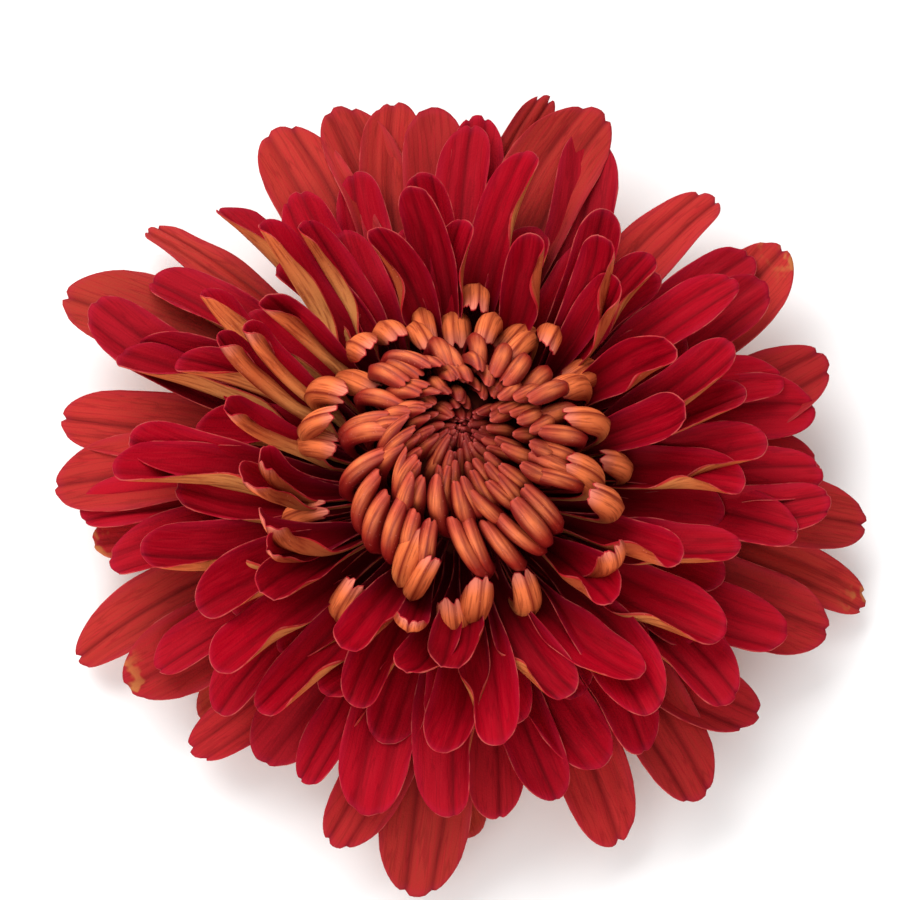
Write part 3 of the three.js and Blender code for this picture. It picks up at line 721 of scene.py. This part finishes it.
def noise(place, scale, detail=2.0):
    """Clouds of numbers round 0.5. scale is one number, or three that stretch them."""
    tree = place.id_data
    if isinstance(scale, tuple):
        place = add(tree, "Mapping", {"Vector": place, "Scale": scale}).outputs["Vector"]
        scale = 1.0
    return add(tree, "TexNoise", {"Vector": place, "Scale": scale, "Detail": detail}).outputs["Fac"]


print("a grey of 128 holds", round(linear(128, 128, 128)[0], 3), "of the light of white")

# %% A new material
BUMP_DEPTH = 0.1 * MM


def flesh_material(name, roughness, sheen, specular=0.06):
    """A new material, rough, with a pink sheen."""
    material = bpy.data.materials.new(name)
    material.use_nodes = True
    shader = material.node_tree.nodes["Principled BSDF"]
    shader.inputs["Roughness"].default_value = roughness
    shader.inputs["Specular IOR Level"].default_value = specular
    shader.inputs["Sheen Weight"].default_value = sheen
    shader.inputs["Sheen Roughness"].default_value = 0.45
    shader.inputs["Sheen Tint"].default_value = linear(220, 60, 90)
    return material, material.node_tree, shader


def lay_on(tree, shader, colour, height=None, strength=0.4, depth=BUMP_DEPTH):
    """Gives the shader its colour, and its bump if there is a height."""
    tree.links.new(colour, shader.inputs["Base Color"])
    if height is not None:
        bump = add(tree, "Bump", {"Height": height, "Strength": strength, "Distance": depth})
        tree.links.new(bump.outputs["Normal"], shader.inputs["Normal"])


print("bumps of", BUMP_DEPTH / MM, "mm, or as a paint says")

# %% Floret colours and the floret material
VERMILION = linear(178, 58, 44)
SCARLET = linear(174, 20, 36)
CRIMSON = linear(160, 0, 24)
DARK_CRIMSON = linear(72, 0, 5)
# painted sheen: the magenta that rising margins show where they catch glancing light
MARGIN_SHEEN = linear(160, 26, 62)
PALE_EDGE = linear(226, 128, 112)
TAN = linear(216, 142, 80)
ORANGE = linear(214, 106, 58)
TERRACOTTA = linear(166, 46, 30)
# the backs' amber, brightened into a painted highlight on the crests of hooks and claws
AMBER_HIGHLIGHT = linear(240, 122, 70)
SALMON = linear(200, 78, 54)
RUST = linear(108, 6, 8)
MAUVE = linear(112, 36, 30)
OCHRE = linear(178, 112, 60)


def patterns(tree):
    """By name: the vertices' numbers, streaks, veins, blotches, grain, and gland specks partly painted as
    glints.
    """
    names = ("stage", "along", "margin", "groove", "tone", "side", "inner", "spent")
    found = {name: number(tree, name) for name in names}
    blade = add(tree, "UVMap", uv_map="Blade").outputs["UV"]
    place = add(tree, "TexCoord").outputs["Object"]
    found["streak"] = noise(blade, (30, 2.2, 1), 3.0)
    lines = noise(blade, (9, 0.7, 1))
    found["vein"] = times(between(lines, 0.46, 0.5), between(lines, 0.54, 0.5))
    found["blotch"] = noise(blade, 3.5)
    found["grain"] = noise(place, 3500.0, 1.0)
    found["dots"] = add(tree, "TexVoronoi", {"Vector": place, "Scale": 1400.0}).outputs["Distance"]
    return found


def upper_colour(p, stages):
    """The velvety face by stage, its tones and streaks, painted shade at root and grooves, painted margin
    sheen.
    """
    return layered(
        ramp(p["stage"], stages),
        (between(p["tone"], -1, 1, 0, 0.3), DARK_CRIMSON),  # some blades are deeper
        (between(p["streak"], 0.4, 0.7, 0, 0.35), SCARLET),
        # darker towards the root: partly the floret's own deeper red, partly painted shade where the florets
        # crowd
        (between(p["along"], 0.8, 0.25, 0, 0.95), DARK_CRIMSON),  # towards the root
        # painted shade in the grooves
        (times(p["groove"], 0.6), DARK_CRIMSON),
        (times(p["vein"], 0.25), DARK_CRIMSON),
        # painted sheen on the rising margins
        (between(p["margin"], 0.5, 0, 0, 0.2), MARGIN_SHEEN))


def back_colour(p, stops, rolled_edge, shaded, shade_from):
    """The back: tan root to tip, darker towards the eye, with painted shade in grooves and away from the
    midrib.
    """
    # painted shade in the dark gaps between the eye florets
    eye_gap_shade = times(between(p["stage"], 0.8, 0.98), between(p["inner"], 0.9, 0.3, 0, 0.9))
    return layered(
        ramp(p["along"], stops),
        (between(p["stage"], 0.65, 0.95, 0, 0.8), MAUVE),
        (between(p["streak"], 0.45, 0.7, 0, 0.55), RUST),
        # painted shade in the grooves, and on the sides that turn away from the midrib
        (times(p["groove"], 0.9), RUST),
        (between(p["inner"], shade_from, shade_from - 0.6, 0, shaded), RUST),
        (between(p["margin"], 0.08, 0.03, 0, rolled_edge), SCARLET),
        (eye_gap_shade, DARK_CRIMSON))


def floret_material(name, upper, back, roughness=0.6, specular=0.05, rolled_edge=0.9, shaded=0.3,
                    shade_from=0.7):
    """Paint for a whorl: upper face by stage, back from root to tip.

    Its margins are red by the share rolled_edge, and from shade_from outwards painted shade in rust takes the
    share shaded.
    """
    material, tree, shader = flesh_material(name, roughness, 0.03, specular)
    p = patterns(tree)
    under = back_colour(p, back, rolled_edge, shaded, shade_from)
    withered = times(between(p["along"], 0.9, 1, 0, 0.8), between(p["blotch"], 0.5, 0.6))
    edge = times(between(p["margin"], 0.04, 0), between(p["blotch"], 0.42, 0.6, 0, 0.25))
    # pale specks of the glands on the back, lightened further as painted glints
    dots = times(between(p["dots"], 0.16, 0.08, 0, 0.3), p["side"])
    colour = layered(
        upper_colour(p, upper), (p["side"], under), (times(withered, p["spent"]), OCHRE),
        (edge, PALE_EDGE), (dots, PALE_EDGE))
    ridges = add(tree, "Math", {0: p["streak"], 1: p["grain"]}, operation="ADD").outputs[0]
    lay_on(tree, shader, colour, ridges, 0.35, 0.12 * MM)
    return material


crimson_paint = floret_material(
    "crimson_floret_paint", [(0, VERMILION), (0.08, SCARLET), (0.2, CRIMSON), (1, CRIMSON)],
    [(0.1, TAN), (0.6, TAN), (0.9, ORANGE)])
# hooks and spoons: painted shade in rust on the sides, and an amber painted highlight near the tip
spoon_paint = floret_material(
    "orange_backed_floret_paint", [(0, CRIMSON), (1, CRIMSON)],
    [(0.1, TAN), (0.5, TAN), (0.75, ORANGE), (0.9, AMBER_HIGHLIGHT), (1, PALE_EDGE)], shaded=0.7)
# the claws' backs run dark from the root up to the bend as painted shade where they overlap; amber on the
# crest is a painted highlight
claw_paint = floret_material(
    "terracotta_floret_paint", [(0, CRIMSON), (1, MAUVE)],
    [(0.4, DARK_CRIMSON), (0.58, RUST), (0.7, TERRACOTTA), (0.84, AMBER_HIGHLIGHT), (0.95, SALMON), (1, SALMON)],
    roughness=0.45, specular=0.2, rolled_edge=0.3, shaded=0.95, shade_from=0.95)
print("floret paints:", crimson_paint.name, spoon_paint.name, claw_paint.name)

# %% [markdown]
# ## The outer whorls
#
# Three whorls spread out, each above the gaps of the one below. Under them, out of the photograph's
# sight, seven longer florets come down to the table and carry the bloom, and plain ones close the gap
# towards the whorls that hook over. Those grow in the same way, only from later stages, and show their
# orange backs.

# %% Growing the outer whorls
FINE = (37, 21)  # rows and columns of a blade's grid
TIGHT = (41, 21)
COARSE = (25, 13)
RESTING = 7
FILLING = 26
FIRST_FILLING = 400
FIRST_BEHIND = 450
WHORLS = ("rim", "outer", "middle", "resting", "spoon", "hook", "claw", "inner")
counts = [0, len(RIM), len(OUTER), len(MIDDLE), RESTING, len(SPOON), len(HOOK), len(CLAW)]
FIRST = dict(zip(WHORLS, np.cumsum(counts).tolist()))  # number of each whorl's first floret


def ring(count, start, reach, width, stage, turn):
    """A whorl spread evenly round the bloom."""
    alike = np.ones(count)
    return dict(azimuth=start + 360 / count * np.arange(count), reach=reach * alike, width=width * alike,
                turn=turn * alike, stage=stage * alike)


resting = ring(RESTING, start=14, reach=46, width=9, stage=0, turn=0)
uneven_reach = 37 + 2 * np.sin(5.0 * np.arange(FILLING))
filling = ring(FILLING, start=5, reach=uneven_reach, width=8, stage=0.22, turn=np.nan)
CRIMSON_LOOK = (crimson_paint, "crimson_floret", "outer_ray_florets")
ORANGE_LOOK = (spoon_paint, "orange_backed_floret", "spoon_ray_florets")
spreading = {
    "rim_florets": ([grow(listed(RIM, *RIM_AGE), FIRST["rim"])], FINE, CRIMSON_LOOK),
    "outer_florets": ([grow(listed(OUTER, *OUTER_AGE), FIRST["outer"])], FINE, CRIMSON_LOOK),
    "middle_florets": ([grow(listed(MIDDLE, *MIDDLE_AGE), FIRST["middle"])], FINE, CRIMSON_LOOK),
    "lower_florets": ([grow(resting, FIRST["resting"], resting=True), grow(filling, FIRST_FILLING),
                       grow(listed(BEHIND, *RIM_AGE), FIRST_BEHIND)], COARSE, CRIMSON_LOOK),
    "spoon_florets": ([grow(listed(SPOON, *SPOON_AGE), FIRST["spoon"])], FINE, ORANGE_LOOK),
    "hooked_florets": ([grow(listed(HOOK, *HOOK_AGE), FIRST["hook"])], TIGHT, ORANGE_LOOK),
}
for name, (whorls, grid, look) in spreading.items():
    blades_piece(name, [blade_surface(grown, *grid) for grown in whorls], *look)

# %% [markdown]
# ## The dome
#
# The outer claws are listed. The inner ones follow the rule that flower heads grow by: each new floret
# stands a golden angle, about 137.5 degrees, on from the one before, which never lines them up in rows. All
# are swept round a little, which gives the dome its swirl.

# %% Growing the dome
GOLDEN_ANGLE = 137.508
FIRST_AZIMUTH = 33
INNER = 80
EYE = 84
INNER_AGE = ([0, 28, 56, 88, 114, INNER + EYE], [0.63, 0.69, 0.78, 0.87, 0.93, 1])  # stage by number
INNER_WIDTH = ([0.63, 0.78, 0.9, 1], [3.0, 2.3, 1.7, 1.0])  # mm by stage
CLAW_SWEEP = (-14, 10)
INNER_SWEEP = (-18, 10)
CLAW_GRID = (37, 17)
INNER_GRID = (29, 13)
EYE_GRID = (25, 9)

k = np.arange(INNER + EYE)
inner_stage = np.interp(k, *INNER_AGE)
inner = dict(azimuth=FIRST_AZIMUTH + GOLDEN_ANGLE * k, reach=0 * k, turn=np.nan * k, stage=inner_stage,
             width=np.interp(inner_stage, *INNER_WIDTH))
inner = grow(inner, FIRST["inner"], INNER_SWEEP)
dome = {
    "claw_florets": (grow(listed(CLAW, *CLAW_AGE), FIRST["claw"], CLAW_SWEEP), CLAW_GRID),
    "inner_claw_florets": ({key: value[:INNER] for key, value in inner.items()}, INNER_GRID),
    "eye_florets": ({key: value[INNER:] for key, value in inner.items()}, EYE_GRID),
}
for name, (grown, grid) in dome.items():
    made = [blade_surface(grown, *grid)]
    blades_piece(name, made, claw_paint, "terracotta_floret", "incurved_ray_florets")

# %% [markdown]
# ## The receptacle
#
# All the florets stand on one swollen end of the stalk. It can't be seen, but light must not shine between
# the claws, so a turned core fills the place. Its dark red-brown is painted shade, the colour of the deep
# gaps between the claws.

# %% The core under the claws
def turned_surface(profile, sides, ribs=0, rib_depth=0.0):
    """[radius, height] points swung round the axis, with ribs down the side.

    The radius at azimuth a is r * (1 + depth * cos(ribs * a)); the first and last points lie on the axis.
    """
    radius, height = np.array(profile[1:-1], float).T
    angle = np.linspace(0, 2 * math.pi, sides, endpoint=False)
    radius = radius[:, None] * (1 + rib_depth * np.cos(ribs * angle))
    rings = np.stack([radius * np.cos(angle), radius * np.sin(angle), np.tile(height[:, None], sides)], -1)
    points = np.concatenate([rings.reshape(-1, 3), [[0, 0, profile[0][1]], [0, 0, profile[-1][1]]]])
    grid = np.arange(len(height) * sides).reshape(-1, sides)
    ahead = np.roll(grid, -1, 1)
    quads = np.stack([grid[:-1], ahead[:-1], ahead[1:], grid[1:]], -1).reshape(-1, 4)
    low, high = np.full(sides, len(points) - 2), np.full(sides, len(points) - 1)
    caps = [np.stack([low, ahead[0], grid[0]], -1), np.stack([high, grid[-1], ahead[-1]], -1)]
    return points, quads.tolist() + np.concatenate(caps).tolist()


CORE = [
    [0, 9], [8, 9], [11, 10.6], [11.6, 13], [10.6, 16], [9.6, 20], [9, 26], [7.8, 31], [4.5, 33.4], [0, 33.6],
]
core_shade_paint, core_tree, core_shader = flesh_material("receptacle_shade_paint", 0.8, 0.0)
core_noise = noise(add(core_tree, "TexCoord").outputs["Object"], 400.0)
core_mottle = between(core_noise, 0.4, 0.6)
# painted shade: dark red-brown, the colour of the shade deep between the claws
lay_on(core_tree, core_shader, layered(linear(64, 14, 14), (core_mottle, linear(92, 34, 22))))
turned = turned_surface(CORE, 48)
new_mesh("receptacle", *turned, core_shade_paint, "terracotta_floret", "incurved_ray_florets")
print("receptacle of", len(turned[0]), "points")

# %% [markdown]
# ## The involucre
#
# Under the bloom, overlapping green bracts hold the florets like the tiles of a roof. Each hugs the cup,
# is thickest along its midrib, and has a papery brown margin.

# %% Bracts
BRACT_ROWS = [  # count, root's radius and height, rise in degrees, length and width
    [8, 3.6, 4.5, 42, 4.6, 3.4],
    [10, 5.0, 5.3, 50, 4.2, 3.4],
    [12, 6.4, 6.2, 56, 3.3, 3.2],
]
BRACT_GRID = (13, 9)
BRACT_ROOT = -0.3  # where a bract starts
BRACT_THICKNESS = 0.45
BRACT_INSIDE = -0.05  # mm, of its inner face
BRACT_CURL = 0.35  # radians that it steepens by
BRACT_SPREAD = 0.06  # share of its width
BRACT_SWEEP = 0.04  # radians to either side
FIRST_BRACT = 500
NEXT_ROW = 20


def bract_surface(count, radius, height, rise, reach, width, first):
    """One row of bracts, wrapped round the axis; they rise and curl in a little.

    Half the width is width / 2 * sqrt(1 - s^2.4); the midrib stands out by 1 - u^2 of the thickness.
    """
    i = first + np.arange(count)
    whole = (count, *BRACT_GRID)
    u = np.broadcast_to(np.linspace(-1, 1, whole[2]), whole)
    s = np.broadcast_to(np.linspace(BRACT_ROOT, 1, whole[1])[:, None], whole)
    half = width / 2 * np.sqrt(np.clip(1 - np.clip(s, 0, 1) ** 2.4, 0, 1))
    half = half * (1 + BRACT_SPREAD * each(draw(i, "bract")))
    slope = math.radians(rise) + BRACT_CURL * s
    out = radius + reach * s * np.cos(slope)
    up = height + reach * s * np.sin(slope)
    azimuth = each(2 * math.pi * np.arange(count) / count + BRACT_SWEEP * draw(i, "root")) + half * u / out

    def raised(lift):
        """The surface moved outwards by lift, square to its slope."""
        away, z = out + lift * np.sin(slope), up - lift * np.cos(slope)
        return np.stack([away * np.cos(azimuth), away * np.sin(azimuth), z], -1)

    paint = dict(margin=1 - np.abs(u), along=np.clip(s, 0, 1), tone=each(draw(i, "tone")) + 0 * s)
    flat = np.stack([half * u / 10 + 3 * each(i), s * reach / 10], -1)
    return raised(BRACT_INSIDE), raised(BRACT_THICKNESS * (1.05 - u**2)), paint, flat


def bract_material():
    """Green with a paler midrib and papery brown margins."""
    material, tree, shader = flesh_material("green_bract_paint", 0.75, 0.0)
    margin, tone, along = [number(tree, name) for name in ("margin", "tone", "along")]
    blade = add(tree, "UVMap", uv_map="Blade").outputs["UV"]
    streak = noise(blade, (60, 8, 1), 3.0)
    papery = times(between(margin, 0.3, 0.05), between(along, 0.1, 0.6, 0.3, 1))
    colour = layered(
        linear(86, 116, 56),
        (between(streak, 0.35, 0.65), linear(124, 150, 82)),
        (between(tone, -1, 1, 0, 0.3), linear(146, 150, 84)),
        (between(margin, 0.75, 1, 0, 0.5), linear(168, 184, 120)),
        (papery, linear(150, 112, 74)))
    lay_on(tree, shader, colour, streak)
    return material


rows = [bract_surface(*row, FIRST_BRACT + NEXT_ROW * n) for n, row in enumerate(BRACT_ROWS)]
blades_piece("involucre_bracts", rows, bract_material(), "green_bract", "involucre")

# %% [markdown]
# ## The cup and the stalk's stub
#
# The cup behind the bracts is a plain turned shape. The stub of the stalk is turned too, and ribbed by a
# cosine in its radius. Its cut end shows a pale pith.

# %% Cup and stalk
CUP = [[0, 4], [2.4, 4], [3.4, 4.3], [5, 5.2], [6.6, 6.6], [7.8, 8], [8.3, 9.2], [0, 9.2]]
STALK = [[0, 0.6], [1.4, 0.6], [1.95, 0.62], [2.1, 0.8], [2.0, 2], [2.2, 3], [2.6, 4.2], [2.7, 4.1], [0, 4.1]]
PITH_RADIUS = 1.5 * MM
NO_PITH = -1 * MM


def stalk_material(name, pith_radius):
    """Streaked green, with a pale pith inside pith_radius of the axis."""
    material, tree, shader = flesh_material(name, 0.7, 0.0)
    place = add(tree, "TexCoord").outputs["Object"]
    split = add(tree, "SeparateXYZ", {"Vector": place})
    flat = add(tree, "CombineXYZ", {"X": split.outputs["X"], "Y": split.outputs["Y"]}).outputs["Vector"]
    radius = add(tree, "VectorMath", {0: flat}, operation="LENGTH").outputs["Value"]
    streak = noise(place, (2500, 2500, 300))
    colour = layered(
        linear(92, 118, 60),
        (between(streak, 0.35, 0.65), linear(130, 150, 88)),
        (between(radius, pith_radius, pith_radius - 0.3 * MM), linear(206, 212, 170)))
    lay_on(tree, shader, colour, streak)
    return material


cup_paint = stalk_material("green_cup_paint", NO_PITH)
stalk_paint = stalk_material("green_stalk_paint", PITH_RADIUS)
new_mesh("involucre_cup", *turned_surface(CUP, 48), cup_paint, "green_bract", "involucre")
ribbed = turned_surface(STALK, 96, ribs=9, rib_depth=0.05)
new_mesh("peduncle_stub", *ribbed, stalk_paint, "green_stalk", "peduncle")
print("stub of", len(ribbed[0]), "points")

# %% [markdown]
# ## Table and light
#
# Soft light falls from behind and to the left, and leaves the near side of the bloom deeper in colour. A
# large square lamp does that, a second one keeps the near petals from going black, and a plain white sky
# fills the rest.

# %% The table
TABLE_WHITE = 0.96
HALF_TABLE = 2.0
floor_material = bpy.data.materials.new("table")
floor_material.use_nodes = True
floor_shader = floor_material.node_tree.nodes["Principled BSDF"]
floor_shader.inputs["Base Color"].default_value = (TABLE_WHITE, TABLE_WHITE, TABLE_WHITE, 1)
floor_shader.inputs["Roughness"].default_value = 0.9
floor_mesh = bpy.data.meshes.new("table")
corners = [(x * HALF_TABLE, y * HALF_TABLE, 0) for x, y in ((-1, -1), (1, -1), (1, 1), (-1, 1))]
floor_mesh.from_pydata(corners, [], [(0, 1, 2, 3)])
floor_mesh.materials.append(floor_material)
floor = bpy.data.objects.new("table", floor_mesh)
bpy.context.collection.objects.link(floor)
print("table", 2 * HALF_TABLE, "m wide")


# %% The lights
def soft_light(name, place, size, watts):
    """A square area light that faces the bloom."""
    data = bpy.data.lights.new(name, "AREA")
    data.energy = watts
    data.size = size
    light = bpy.data.objects.new(name, data)
    bpy.context.collection.objects.link(light)
    light.location = place
    light.rotation_euler = (HEART - Vector(place)).to_track_quat("-Z", "Y").to_euler()


SKY = 0.65
soft_light("window_light", (-0.4, 0.55, 0.85), 1.0, 12)
soft_light("fill_light", (-0.2, -0.8, 0.6), 0.9, 6)
world = bpy.data.worlds.new("studio")
world.use_nodes = True
world.node_tree.nodes["Background"].inputs["Color"].default_value = (1, 1, 1, 1)
world.node_tree.nodes["Background"].inputs["Strength"].default_value = SKY
bpy.context.scene.world = world
bpy.context.scene.view_settings.view_transform = "Standard"
print("two lamps and a sky of strength", SKY)
